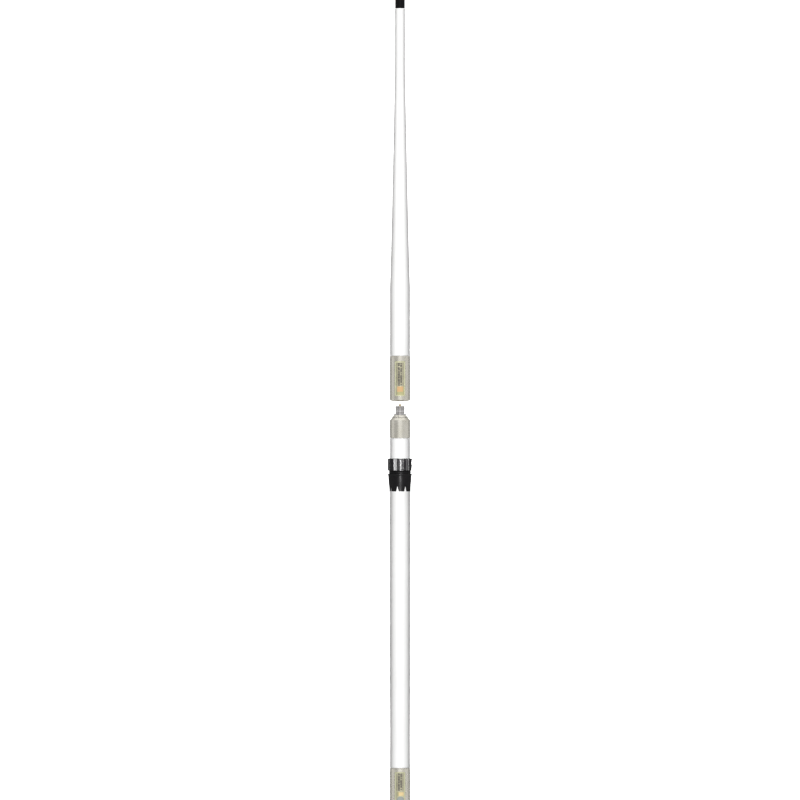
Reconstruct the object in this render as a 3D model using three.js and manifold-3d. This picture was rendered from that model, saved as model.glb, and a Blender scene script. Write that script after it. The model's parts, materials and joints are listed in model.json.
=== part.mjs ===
// Two-section omnidirectional mast antenna: a straight lower section that screws on to a deck mount,
// a tapered upper section that screws on to the lower one, and a clamp collar that slides on the lower tube.
// Millimetres, +Z up. The origin is the centre of the base ferrule's lower rim.
// The upper section is drawn as it is when unscrewed and lifted just clear of its stud.
import * as THREE from "three";
import { mergeVertices } from "three/addons/utils/BufferGeometryUtils.js";
import Module from "manifold-3d";

const wasm = await Module();
wasm.setup();

// ---- Driving dimensions ----
const GAP = 0.3; // left between pieces that touch
const TUBE_R = 19.05; // straight fibreglass tube, 1.5 inch
const TUBE_WALL = 3.5;
const TUBE_BORE_R = TUBE_R - TUBE_WALL;
const FERRULE_R = 19.3;
const EDGE = 0.5; // small chamfer on a ferrule's edges
const SPIGOT_R = TUBE_BORE_R - GAP; // ferrule spigot, bonded inside a tube
const SPIGOT_LENGTH = 30;

// Base ferrule: a 1-14 socket for the mount's thread, and the coax connector above it
const base = { top: 86, socketR: 12.2, socketDepth: 24, boreR: 6 };
const connector = { face: 26, threadR: 7.94, mouthR: 6.3, top: 60 };
const connectorFlange = { r: 9.6, bottom: 43.5, top: 47 };

// Joint between the two sections: a cone on the lower ferrule, and a 3/4-10 stud
const joint = { bottom: 714.4, shoulder: 748.5, top: 758 };
const stud = { r: 9.525, rootR: 8, pitch: 2.54, shankR: 9, bottom: 728.6, top: 775.4 };
const studFlange = { r: 11.3, height: 2.5 };
const oRing = { r: 14.3, z: 754.4, sectionR: 1.3 };
const LIFT = 11 * stud.pitch; // eleven turns take the upper section from seated to where it is drawn

// Sprung contact in the stud's bore
const contact = { boreR: 5.2, barrelR: 3.6, barrelBoreR: 2.8, floor: 752, shoulderR: 2.5, shoulderHeight: 3 };
const pin = { r: 1.8, top: 779.2 };

// Upper ferrule, measured up from its own rim
const upper = { rim: 784, length: 86.6, socketFloor: 20.5, threadR: 9.95 };
const washer = { seat: 5.1, height: 1.1 };
const UPPER_TOP = upper.rim + upper.length;

// Upper tube, straight, then tapered, then a slim straight tip with a cap
const TAPER_START = 1000;
const TAPER_END = 1415;
const TAPER_POWER = 0.85; // 1 is a straight taper; less bellies it inwards
const TIP_R = 9.5;
const TIP_WALL = 2.4;
const UPPER_TUBE_END = 1533;
const OVERALL = 1556;

// Conductors
const COAX_R = 2.6;
const FEED_R = 3.2;
const LINK_R = 2.4;
const UPPER_ROD_R = 2.6;
const TIP_ROD_R = 1.6;
const SLEEVE = { bottom: 230, top: 452, innerR: 9.4, wall: 0.8 };
const LOWER_COIL = { bottom: 570, top: 606, formerR: 4, coilR: 5.5, wireR: 0.9, turns: 6 };
const UPPER_COIL = { bottom: 1120, top: 1160, formerR: 3.4, coilR: 4.8, wireR: 0.8, turns: 6 };

// Clamp collar, measured up from its own lower edge. A phase is the turn from +X in pitches.
const collar = { z: 613, boreR: 19.4, r: 23, neckR: 21.1, bodyTop: 33, neckTop: 52.6 };
const skirt = { bottomR: 20.1, topR: 22.2, top: 29.5 };
const grip = { r: 20.1, bottom: 46 };
const nut = { bottom: 39.5, ledge: 55.7, top: 62.3, flutes: 12, fluteDepth: 0.9, phase: 0.62 };
const slipRing = { bottom: 53.3, top: 55.3, r: 21 };
const notch = { count: 8, height: 9.2, bottomHalfWidth: 2.7, topHalfWidth: 0.8, phase: 0.68 };

// Segments round an axis
const FINE = 32;
const PLAIN = 24;
const COARSE = 12;

// ---- Materials ----
const finish = (color, roughness, metalness) =>
  new THREE.MeshStandardMaterial({ color, roughness, metalness });
const material = {
  radome: finish(0xf4f4f2, 0.22, 0),
  ferrule: finish(0xb9b48c, 0.28, 0.9),
  steel: finish(0xb8b8ba, 0.25, 1),
  black: finish(0x1c1b1d, 0.45, 0),
  rubber: finish(0x141414, 0.8, 0),
  silicone: finish(0xb9b6ad, 0.6, 0),
  brass: finish(0xb08d45, 0.35, 1),
  copper: finish(0xb3663a, 0.35, 1),
  ptfe: finish(0xeeeeea, 0.5, 0),
  foam: finish(0xdcdcd2, 0.9, 0),
  jacket: finish(0xd8d8d8, 0.5, 0),
  ferrite: finish(0x3a3a3c, 0.7, 0),
  label: finish(0x8f8a63, 0.4, 0.3),
};

// ---- Root group ----
const antenna = new THREE.Group();

function add(name, geometry, itsMaterial) {
  const mesh = new THREE.Mesh(geometry, itsMaterial);
  mesh.name = name;
  antenna.add(mesh);
}

// ---- Shape helpers ----

// A solid of revolution about Z, from an outline of [radius, z] points. It closes on itself, or starts
// and ends on the axis. Either way round is accepted.
function turned(outline, segments = PLAIN) {
  const area = outline.reduce((sum, [r, z], i) => {
    const [nextR, nextZ] = outline[(i + 1) % outline.length];
    return sum + r * nextZ - nextR * z;
  }, 0);
  const points = (area > 0 ? outline : [...outline].reverse()).map(([r, z]) => new THREE.Vector2(r, z));
  if (points[0].x > 0) points.push(points[0].clone());
  return new THREE.LatheGeometry(points, segments).rotateX(Math.PI / 2);
}

const tube = (innerR, outerR, z0, z1, segments = COARSE) =>
  turned([[innerR, z0], [outerR, z0], [outerR, z1], [innerR, z1]], segments);

const rod = (r, z0, z1) => turned([[0, z0], [r, z0], [r, z1], [0, z1]], COARSE);

// A manifold-3d solid from a closed geometry.
function solid(geometry) {
  const bare = geometry.clone().deleteAttribute("normal").deleteAttribute("uv");
  const merged = mergeVertices(bare, 1e-4);
  return new wasm.Manifold(
    new wasm.Mesh({
      numProp: 3,
      vertProperties: merged.attributes.position.array,
      triVerts: new Uint32Array(merged.index.array),
    }),
  );
}

// A geometry from a manifold-3d solid.
function geometryOf(made) {
  const mesh = made.getMesh();
  const geometry = new THREE.BufferGeometry();
  geometry.setAttribute("position", new THREE.BufferAttribute(mesh.vertProperties, 3));
  geometry.setIndex(new THREE.BufferAttribute(mesh.triVerts, 1));
  geometry.computeVertexNormals();
  return geometry;
}

const cut = (geometry, ...cutters) =>
  geometryOf(cutters.reduce((made, cutter) => made.subtract(solid(cutter)), solid(geometry)));

class Helix extends THREE.Curve {
  constructor(r, z0, z1, turns) {
    super();
    Object.assign(this, { r, z0, z1, turns });
  }
  getPoint(t, target = new THREE.Vector3()) {
    const angle = 2 * Math.PI * this.turns * t;
    const z = THREE.MathUtils.lerp(this.z0, this.z1, t);
    return target.set(this.r * Math.cos(angle), this.r * Math.sin(angle), z);
  }
}

// Round wire wound about Z.
function coil(r, wireR, z0, z1, turns) {
  const sides = 5;
  const stepsPerTurn = 9;
  const corners = Array.from({ length: sides }, (_, i) => {
    const angle = (2 * Math.PI * i) / sides;
    return new THREE.Vector2(wireR * Math.cos(angle), wireR * Math.sin(angle));
  });
  return new THREE.ExtrudeGeometry(new THREE.Shape(corners), {
    steps: turns * stepsPerTurn,
    extrudePath: new Helix(r, z0, z1, turns),
  });
}

// A bar with a V thread that runs out at both ends: rings of points whose radius follows the flanks.
function threadedBar(rootR, crestR, pitch, z0, z1) {
  const segments = 20;
  const ringsPerPitch = 4;
  const rings = Math.round(((z1 - z0) / pitch) * ringsPerPitch);
  const positions = [];
  const index = [];
  for (let j = 0; j <= rings; j += 1) {
    const z = THREE.MathUtils.lerp(z0, z1, j / rings);
    const runOut = Math.min(1, (z - z0) / pitch, (z1 - z) / pitch);
    for (let i = 0; i < segments; i += 1) {
      const turn = i / segments;
      const phase = THREE.MathUtils.euclideanModulo(z / pitch - turn, 1);
      const flank = 1 - Math.abs(2 * phase - 1);
      const r = rootR + (crestR - rootR) * flank * runOut;
      positions.push(r * Math.cos(2 * Math.PI * turn), r * Math.sin(2 * Math.PI * turn), z);
    }
  }
  const lowCentre = positions.length / 3;
  positions.push(0, 0, z0, 0, 0, z1);
  for (let i = 0; i < segments; i += 1) {
    const next = (i + 1) % segments;
    const top = rings * segments;
    index.push(lowCentre, next, i, lowCentre + 1, top + i, top + next);
    for (let j = 0; j < rings; j += 1) {
      const a = j * segments + i;
      const b = j * segments + next;
      index.push(a, b, b + segments, a, b + segments, a + segments);
    }
  }
  const geometry = new THREE.BufferGeometry();
  geometry.setAttribute("position", new THREE.BufferAttribute(new Float32Array(positions), 3));
  geometry.setIndex(index);
  return geometry;
}

// A thin label wrapped round the front of a ferrule.
function labelShell(z0, z1) {
  const innerR = FERRULE_R + GAP;
  const thickness = 0.3;
  const halfAngle = THREE.MathUtils.degToRad(31);
  const front = -Math.PI / 2;
  const shape = new THREE.Shape();
  shape.absarc(0, 0, innerR + thickness, front - halfAngle, front + halfAngle, false);
  shape.absarc(0, 0, innerR, front + halfAngle, front - halfAngle, true);
  const shell = new THREE.ExtrudeGeometry(shape, { depth: z1 - z0, bevelEnabled: false, curveSegments: 6 });
  return shell.translate(0, 0, z0);
}

// The tapered tube's outside radius, and its wall, at a height.
function taperR(z) {
  const share = THREE.MathUtils.clamp((z - TAPER_START) / (TAPER_END - TAPER_START), 0, 1);
  return TUBE_R - (TUBE_R - TIP_R) * share ** TAPER_POWER;
}

const taperWall = (z) => THREE.MathUtils.mapLinear(z, UPPER_TOP, UPPER_TUBE_END, TUBE_WALL, TIP_WALL);

// ---- Lower section: base ----
function addBase() {
  const grooveZ = base.top - 5;
  const rimR = base.socketR + 0.6;
  const recess = { r: connectorFlange.r + GAP, top: connectorFlange.top + 1 };
  const ferrule = turned(
    [
      [rimR, 0],
      [FERRULE_R - 2 * EDGE, 0],
      [FERRULE_R, 2 * EDGE],
      [FERRULE_R, grooveZ - EDGE],
      [FERRULE_R - EDGE, grooveZ],
      [FERRULE_R, grooveZ + EDGE],
      [FERRULE_R, base.top - EDGE],
      [FERRULE_R - EDGE, base.top],
      [SPIGOT_R, base.top],
      [SPIGOT_R, base.top + SPIGOT_LENGTH],
      [base.boreR, base.top + SPIGOT_LENGTH],
      [base.boreR, recess.top],
      [recess.r, recess.top],
      [recess.r, base.socketDepth],
      [base.socketR, base.socketDepth],
      [base.socketR, rimR - base.socketR],
    ],
    FINE,
  );
  add("base_ferrule", ferrule, material.ferrule);
  add("base_label", labelShell(14, 79), material.label);
}

function addConnector() {
  const crimpR = 5.6;
  const crimpWall = 1;
  const shell = turned([
    [connector.mouthR, connector.face],
    [connector.threadR - EDGE, connector.face],
    [connector.threadR, connector.face + EDGE],
    [connector.threadR, connectorFlange.bottom],
    [connectorFlange.r, connectorFlange.bottom],
    [connectorFlange.r, connectorFlange.top],
    [crimpR, connectorFlange.top],
    [crimpR, connector.top],
    [crimpR - crimpWall, connector.top],
    [crimpR - crimpWall, connectorFlange.top],
    [connector.mouthR, connectorFlange.top - 2],
  ]);
  add("coax_connector_shell", shell, material.steel);
  const contactR = 2.2;
  const insulatorBottom = connector.face + 3;
  const insulatorTop = connectorFlange.bottom;
  const insulator = tube(contactR + GAP, connector.mouthR - GAP, insulatorBottom, insulatorTop, PLAIN);
  add("coax_connector_insulator", insulator, material.ptfe);
  const plugBoreR = 1.3;
  const plugContact = tube(plugBoreR, contactR, connector.face + 2, connector.top - 2);
  add("coax_connector_contact", plugContact, material.brass);
}

// ---- Lower section: tube and what it holds ----
function addLowerTube() {
  add("lower_tube", tube(TUBE_BORE_R, TUBE_R, base.top + GAP, joint.bottom - GAP, FINE), material.radome);
}

function addFeed() {
  const coaxTop = SLEEVE.top + 8;
  add("feed_coax", rod(COAX_R, connector.top + 1, coaxTop), material.jacket);
  const bead = { first: 128, length: 18, spacing: 21, r: 7 };
  for (let i = 0; i < 3; i += 1) {
    const z = bead.first + i * bead.spacing;
    add(`ferrite_bead_${i + 1}`, tube(COAX_R + GAP, bead.r, z, z + bead.length), material.ferrite);
  }
  const sleeve = turned(
    [
      [SLEEVE.innerR, SLEEVE.bottom],
      [SLEEVE.innerR + SLEEVE.wall, SLEEVE.bottom],
      [SLEEVE.innerR + SLEEVE.wall, SLEEVE.top],
      [COAX_R + GAP, SLEEVE.top],
      [COAX_R + GAP, SLEEVE.top - SLEEVE.wall],
      [SLEEVE.innerR, SLEEVE.top - SLEEVE.wall],
    ],
    COARSE,
  );
  add("decoupling_sleeve", sleeve, material.brass);
  add("lower_radiator", rod(FEED_R, coaxTop + GAP, LOWER_COIL.bottom), material.brass);
  addPhasingCoil("lower", LOWER_COIL);
  add("joint_feed_rod", rod(LINK_R, LOWER_COIL.top + GAP, contact.floor - 2 - GAP), material.brass);
}

function addPhasingCoil(section, size) {
  const endLength = 3;
  add(`${section}_coil_former`, rod(size.formerR, size.bottom + GAP, size.top), material.ptfe);
  const wire = coil(size.coilR, size.wireR, size.bottom + endLength, size.top - endLength, size.turns);
  add(`${section}_phasing_coil`, wire, material.copper);
}

// Foam discs that keep the conductors on the mast's axis.
function addCentringDiscs() {
  const thickness = 8;
  const lower = [{ z: 205, rodR: COAX_R }, { z: 500, rodR: FEED_R }, { z: 655, rodR: LINK_R }];
  lower.forEach(({ z, rodR }, i) => {
    add(`lower_centring_disc_${i + 1}`, tube(rodR + GAP, SPIGOT_R, z, z + thickness, PLAIN), material.foam);
  });
  const above = [{ z: 960, rodR: UPPER_ROD_R }, { z: 1085, rodR: UPPER_ROD_R }, { z: 1330, rodR: TIP_ROD_R }];
  above.forEach(({ z, rodR }, i) => {
    const outerR = taperR(z + thickness) - taperWall(z) - GAP;
    add(`upper_centring_disc_${i + 1}`, tube(rodR + GAP, outerR, z, z + thickness), material.foam);
  });
}

// ---- Lower section: joint ----
function addJointFerrule() {
  const passageR = 5.5;
  const shankBoreR = stud.shankR + GAP;
  const ferrule = turned(
    [
      [passageR, joint.bottom - SPIGOT_LENGTH],
      [SPIGOT_R, joint.bottom - SPIGOT_LENGTH],
      [SPIGOT_R, joint.bottom],
      [FERRULE_R - EDGE, joint.bottom],
      [FERRULE_R, joint.bottom + EDGE],
      [FERRULE_R, joint.shoulder],
      [studFlange.r + 0.2, joint.top],
      [shankBoreR, joint.top],
      [shankBoreR, stud.bottom - GAP],
      [passageR, stud.bottom - GAP],
    ],
    FINE,
  );
  const ring = (sectionR) => new THREE.TorusGeometry(oRing.r, sectionR, 6, PLAIN).translate(0, 0, oRing.z);
  add("joint_ferrule", cut(ferrule, ring(oRing.sectionR + GAP)), material.ferrule);
  add("joint_o_ring", ring(oRing.sectionR), material.silicone);
}

// Shank pressed into the ferrule, flange, thread broken by a relief groove, and a bore for the contact.
function addStud() {
  const flangeBottom = joint.top + GAP;
  const flangeTop = flangeBottom + studFlange.height;
  const relief = { bottom: 764.2, top: 767.2, depth: 1.4 };
  const root = turned([
    [0, stud.bottom],
    [stud.shankR, stud.bottom],
    [stud.shankR, flangeBottom],
    [studFlange.r, flangeBottom],
    [studFlange.r, flangeTop],
    [stud.rootR, flangeTop],
    [stud.rootR, flangeTop + 1],
    [0, flangeTop + 1],
  ]);
  const thread = threadedBar(stud.rootR, stud.r, stud.pitch, flangeTop - EDGE, stud.top);
  const joined = geometryOf(solid(root).add(solid(thread)));
  const groove = tube(stud.r - relief.depth, stud.r + 1, relief.bottom, relief.top);
  add("joint_stud", cut(joined, groove, rod(contact.boreR, stud.bottom - 1, stud.top + 1)), material.steel);
}

// The pin slides in its barrel, held up by the spring under its shoulder.
function addContact() {
  const insulatorR = contact.boreR - GAP;
  const lip = 2;
  const insulator = turned(
    [
      [contact.barrelR + GAP, contact.floor - 18],
      [insulatorR, contact.floor - 18],
      [insulatorR, stud.top],
      [pin.r + GAP, stud.top],
      [pin.r + GAP, stud.top - lip],
      [contact.barrelR + GAP, stud.top - lip],
    ],
    COARSE,
  );
  add("stud_insulator", insulator, material.ptfe);
  const barrelTop = stud.top - lip - GAP;
  const shoulderTop = barrelTop - 1 - GAP;
  const shoulderBottom = shoulderTop - contact.shoulderHeight;
  const barrel = turned(
    [
      [0, contact.floor - 2],
      [contact.barrelR, contact.floor - 2],
      [contact.barrelR, barrelTop],
      [pin.r + GAP, barrelTop],
      [pin.r + GAP, barrelTop - 1],
      [contact.barrelBoreR, barrelTop - 1],
      [contact.barrelBoreR, contact.floor],
      [0, contact.floor],
    ],
    COARSE,
  );
  add("contact_barrel", barrel, material.brass);
  const springWireR = 0.3;
  const springEnd = springWireR + GAP;
  const spring = coil(2, springWireR, contact.floor + springEnd, shoulderBottom - springEnd, 7);
  add("contact_spring", spring, material.steel);
  const tipLength = 1.2;
  const contactPin = turned(
    [
      [0, shoulderBottom],
      [contact.shoulderR, shoulderBottom],
      [contact.shoulderR, shoulderTop],
      [pin.r, shoulderTop],
      [pin.r, pin.top - tipLength],
      [pin.r * 0.75, pin.top - tipLength / 3],
      [pin.r * 0.3, pin.top],
      [0, pin.top],
    ],
    COARSE,
  );
  add("contact_pin", contactPin, material.brass);
}

// ---- Upper section ----
function addUpperFerrule() {
  const rimChamfer = 3;
  const washerSeat = upper.rim + washer.seat;
  const washerTop = washerSeat + washer.height;
  const socketFloor = upper.rim + upper.socketFloor;
  const counterboreR = 11.9;
  const insulatorBoreR = 7.9;
  const ferrule = turned(
    [
      [13.6, upper.rim],
      [14.8, upper.rim],
      [FERRULE_R, upper.rim + rimChamfer],
      [FERRULE_R, UPPER_TOP - EDGE],
      [FERRULE_R - EDGE, UPPER_TOP],
      [SPIGOT_R, UPPER_TOP],
      [SPIGOT_R, UPPER_TOP + SPIGOT_LENGTH],
      [insulatorBoreR, UPPER_TOP + SPIGOT_LENGTH],
      [insulatorBoreR, socketFloor],
      [upper.threadR, socketFloor],
      [upper.threadR, washerTop + GAP],
      [counterboreR, washerTop + GAP],
      [counterboreR, upper.rim + 2.2],
    ],
    FINE,
  );
  add("upper_ferrule", ferrule, material.ferrule);
  const slipWasher = tube(upper.threadR + 0.05, counterboreR - GAP, washerSeat, washerTop, PLAIN);
  add("joint_slip_washer", slipWasher, material.ptfe);
  add("joint_label", labelShell(794, 861), material.label);
}

// Insulated socket that the sprung pin enters, carrying the upper radiator.
function addUpperRadiator() {
  const socketFloor = upper.rim + upper.socketFloor;
  const socketR = 3.1;
  const socket = { bottom: socketFloor + 0.2, boreR: 2.2, top: socketFloor + 40 };
  const seatedPinTop = pin.top + LIFT;
  add("socket_insulator", tube(socketR + GAP, 7.6, socketFloor, socketFloor + 25), material.ptfe);
  const contactSocket = turned(
    [
      [0, seatedPinTop + GAP],
      [socket.boreR, seatedPinTop + GAP],
      [socket.boreR, socket.bottom],
      [socketR, socket.bottom],
      [socketR, socket.top],
      [0, socket.top],
    ],
    COARSE,
  );
  add("contact_socket", contactSocket, material.brass);
  add("upper_radiator", rod(UPPER_ROD_R, socket.top + GAP, UPPER_COIL.bottom), material.brass);
  addPhasingCoil("upper", UPPER_COIL);
  add("tip_radiator", rod(TIP_ROD_R, UPPER_COIL.top + GAP, UPPER_TUBE_END - 28), material.brass);
}

function addUpperTube() {
  const steps = 6;
  const heights = [UPPER_TOP + GAP, TAPER_START];
  for (let i = 1; i <= steps; i += 1) {
    // closer together near the taper's start, where the outline bends most
    heights.push(THREE.MathUtils.lerp(TAPER_START, TAPER_END, (i / steps) ** 1.4));
  }
  heights.push(UPPER_TUBE_END);
  const outside = heights.map((z) => [taperR(z), z]);
  const inside = heights.map((z) => [taperR(z) - taperWall(z), z]).reverse();
  add("upper_tube", turned([...outside, ...inside], FINE), material.radome);
}

function addTipCap() {
  const plugR = TIP_R - TIP_WALL - GAP;
  const plugLength = 15;
  const start = UPPER_TUBE_END + GAP;
  const capR = 9.1;
  const cap = turned([
    [0, start - plugLength],
    [plugR, start - plugLength],
    [plugR, start],
    [capR, start],
    [capR, OVERALL - 5],
    [capR - 1.2, OVERALL - 2],
    [capR - 4, OVERALL - 0.4],
    [0, OVERALL],
  ]);
  add("tip_cap", cap, material.black);
}

// ---- Clamp collar on the lower tube ----
const onCollar = (outline) => outline.map(([r, z]) => [r, z + collar.z]);

function addCollarBody() {
  const steps = 7;
  const skirtSide = Array.from({ length: steps + 1 }, (_, i) => {
    const z = (skirt.top * i) / steps;
    return [THREE.MathUtils.lerp(skirt.bottomR, skirt.topR, THREE.MathUtils.smoothstep(z, 0, skirt.top)), z];
  });
  const body = turned(
    onCollar([
      [collar.boreR, 0],
      ...skirtSide,
      [collar.r, skirt.top + 1.3],
      [collar.r, collar.bodyTop - EDGE],
      [collar.r - EDGE, collar.bodyTop],
      [collar.neckR, collar.bodyTop],
      [collar.neckR, collar.neckTop],
      [grip.r, collar.neckTop],
      [grip.r, grip.bottom],
      [collar.boreR, grip.bottom],
    ]),
    FINE,
  );
  add("collar_body", cut(body, ...collarNotches()), material.black);
}

// V-shaped cuts that split the collar's lower edge into fingers.
function collarNotches() {
  const wedge = new THREE.Shape([
    new THREE.Vector2(-notch.bottomHalfWidth, -1),
    new THREE.Vector2(notch.bottomHalfWidth, -1),
    new THREE.Vector2(notch.topHalfWidth, notch.height),
    new THREE.Vector2(-notch.topHalfWidth, notch.height),
  ]);
  return Array.from({ length: notch.count }, (_, i) =>
    new THREE.ExtrudeGeometry(wedge, { depth: collar.r + 2, bevelEnabled: false })
      .rotateX(Math.PI / 2)
      .rotateZ(((i + notch.phase) * 2 * Math.PI) / notch.count)
      .translate(0, 0, collar.z),
  );
}

// The nut draws the slip ring down on to the rubber sleeve, which then grips the tube.
function addCollarClamp() {
  const gripTop = collar.neckTop + 0.3;
  const sleeve = onCollar([
    [collar.boreR, grip.bottom + GAP],
    [grip.r - GAP, grip.bottom + GAP],
    [grip.r - GAP, gripTop],
    [collar.boreR, gripTop],
  ]);
  add("collar_grip_sleeve", turned(sleeve), material.rubber);
  const ring = onCollar([
    [collar.boreR, slipRing.bottom],
    [slipRing.r, slipRing.bottom],
    [slipRing.r, slipRing.top],
    [collar.boreR, slipRing.top],
  ]);
  add("collar_slip_ring", turned(ring), material.ptfe);
  add("collar_nut", cut(flutedBar(), nutBore()), material.black);
}

function flutedBar() {
  const outline = new THREE.Shape();
  const pitch = (2 * Math.PI) / nut.flutes;
  const land = { start: 0, end: 0.3 };
  const flute = { start: 0.36, end: 0.94 };
  for (let i = 0; i < nut.flutes; i += 1) {
    outline.absarc(0, 0, collar.r, (i + land.start) * pitch, (i + land.end) * pitch, false);
    const fluteR = collar.r - nut.fluteDepth;
    outline.absarc(0, 0, fluteR, (i + flute.start) * pitch, (i + flute.end) * pitch, false);
  }
  const bar = new THREE.ExtrudeGeometry(outline, {
    depth: nut.top - nut.bottom,
    bevelEnabled: false,
    curveSegments: 2,
  });
  return bar.rotateZ(nut.phase * pitch).translate(0, 0, collar.z + nut.bottom);
}

// Three bores: over the collar's neck and the slip ring, then close round the tube.
function nutBore() {
  return turned(
    onCollar([
      [0, nut.bottom - 1],
      [collar.neckR + GAP, nut.bottom - 1],
      [collar.neckR + GAP, nut.ledge],
      [collar.boreR + 0.1, nut.ledge],
      [collar.boreR + 0.1, nut.top + 1],
      [0, nut.top + 1],
    ]),
    FINE,
  );
}

addBase();
addConnector();
addLowerTube();
addFeed();
addJointFerrule();
addStud();
addContact();
addUpperFerrule();
addUpperRadiator();
addUpperTube();
addTipCap();
addCentringDiscs();
addCollarBody();
addCollarClamp();

export default antenna;
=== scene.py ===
"""A two-section mast antenna in a plain white studio, its upper section unscrewed and lifted off the stud.

Nearly every piece is round about the mast's axis. A piece that CAD draws with a plain outline is read back
from the frame, gets rounded corners and is turned again with many steps. Threads and flutes are reliefs that
vary round the axis. Outlines, as points (radius, height, share of the relief), and the sizes they are made
of are in millimetres. Everything else is in metres.
"""

import json
import math

import bmesh
import bpy
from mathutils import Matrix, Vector


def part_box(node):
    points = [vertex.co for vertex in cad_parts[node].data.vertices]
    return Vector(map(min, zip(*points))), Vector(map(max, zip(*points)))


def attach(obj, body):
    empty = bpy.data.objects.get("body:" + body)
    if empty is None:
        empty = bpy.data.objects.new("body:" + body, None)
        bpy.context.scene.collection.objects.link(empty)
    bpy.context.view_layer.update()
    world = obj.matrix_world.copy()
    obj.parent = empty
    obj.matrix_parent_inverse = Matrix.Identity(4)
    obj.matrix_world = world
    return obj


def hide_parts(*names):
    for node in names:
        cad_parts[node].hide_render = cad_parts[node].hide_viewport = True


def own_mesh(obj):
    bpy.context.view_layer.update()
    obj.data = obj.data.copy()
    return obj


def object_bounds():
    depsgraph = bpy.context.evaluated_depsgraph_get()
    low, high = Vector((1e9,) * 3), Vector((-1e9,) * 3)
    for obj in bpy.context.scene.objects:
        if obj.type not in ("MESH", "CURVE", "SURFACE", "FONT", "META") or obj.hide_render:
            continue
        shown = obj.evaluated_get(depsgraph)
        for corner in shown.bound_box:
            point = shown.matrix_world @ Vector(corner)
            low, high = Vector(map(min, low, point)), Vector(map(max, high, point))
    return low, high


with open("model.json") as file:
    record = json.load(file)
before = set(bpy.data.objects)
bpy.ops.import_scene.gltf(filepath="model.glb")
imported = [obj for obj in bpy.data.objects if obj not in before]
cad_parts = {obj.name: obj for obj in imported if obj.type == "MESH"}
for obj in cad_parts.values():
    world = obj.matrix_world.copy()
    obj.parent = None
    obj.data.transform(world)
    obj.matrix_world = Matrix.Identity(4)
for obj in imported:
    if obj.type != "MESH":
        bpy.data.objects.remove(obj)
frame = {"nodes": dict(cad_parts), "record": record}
cad_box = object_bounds()

MM = 0.001
INCH = 25.4  # mm
TINY = 1e-6  # metres: points of a CAD mesh nearer than this are one
ON_AXIS = 1e-4  # mm: an outline's point nearer the axis than this is on it

# ---- Driving dimensions, mm ----
TUBE_R = 19.05
FERRULE_R = TUBE_R + 0.25
STUD_PITCH = INCH / 10
STUD_ROOT_R = 8.0
STUD_CREST_R = INCH * 3 / 8
STUD_SOCKET_R = 9.95
MOUNT_PITCH = INCH / 14
MOUNT_SOCKET_R = 12.2
CONNECTOR_PITCH = INCH / 24
CONNECTOR_THREAD_R = 7.94

# ---- Collar, mm and radians. Heights are above its lower edge ----
COLLAR_PITCH = 2.5
SKIRT_BOTTOM_R = 20.1
SKIRT_TOP_R = 22.2
SKIRT_TOP = 29.5
FLUTES = 12
FLUTE_PHASE = 0.62  # turn of the first land from +X, in flutes
FLUTE_DEPTH = 0.9
NOTCHES = 8
NOTCH_PHASE = 0.68  # turn of the first notch from +X, in notches
NOTCH_TOP = 9.2
NOTCH_TURN = 2 * math.pi / NOTCHES
NOTCH_TOP_HALF = 0.8 / 20.5  # half a notch's width, over the radius there
NOTCH_FOOT_HALF = 2.7 / SKIRT_BOTTOM_R
GAP_COLUMNS = 2
FINGER_COLUMNS = 12

# ---- Camera, metres ----
SHOWN_HEIGHT = 1.524
VIEW_CENTRE_Z = 0.7868
VIEW_DEPTH = 100
LENS_MM = 400
SENSOR_MM = 36

body_of = {node: body for body, nodes in frame["record"]["behaviour"]["bodies"].items() for node in nodes}
slot_of = {part["node"]: part["material_slot"] for part in frame["record"]["subparts"]}


def box_mm(node):
    """A CAD node's lowest and highest corners, in millimetres."""
    low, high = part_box(node)
    return low / MM, high / MM


# ---------------------------------------------------------------- materials
COLOUR_A, COLOUR_B, COLOUR_OUT = 6, 7, 2  # a Mix node's sockets where it blends colours


class Nodes:
    """A node tree, with short helpers that fill it."""

    def __init__(self, tree):
        self.tree = tree

    def feed(self, socket, value):
        """Links a node's output to the socket, or sets a plain value on it."""
        if isinstance(value, bpy.types.NodeSocket):
            self.tree.links.new(value, socket)
        else:
            socket.default_value = value

    def node(self, kind, inputs=(), **settings):
        made = self.tree.nodes.new(kind)
        for setting, value in settings.items():
            setattr(made, setting, value)
        for name, value in dict(inputs).items():
            self.feed(made.inputs[name], value)
        return made

    def maths(self, operation, a, b=0.5, c=0.0):
        """A Math node. What its operation doesn't use of b and c has no effect."""
        return self.node("ShaderNodeMath", {0: a, 1: b, 2: c}, operation=operation).outputs[0]

    def spread(self, value, low, high, from_low=0.3, from_high=0.7):
        """The value's range, by default a noise's middle range, spread over low to high."""
        inputs = {"Value": value, "From Min": from_low, "From Max": from_high, "To Min": low, "To Max": high}
        return self.node("ShaderNodeMapRange", inputs).outputs[0]

    def blend(self, share, a, b):
        mix = self.node("ShaderNodeMix", {"Factor": share}, data_type="RGBA")
        for socket, colour in ((mix.inputs[COLOUR_A], a), (mix.inputs[COLOUR_B], b)):
            self.feed(socket, (*colour, 1) if isinstance(colour, tuple) else colour)
        return mix.outputs[COLOUR_OUT]


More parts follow.
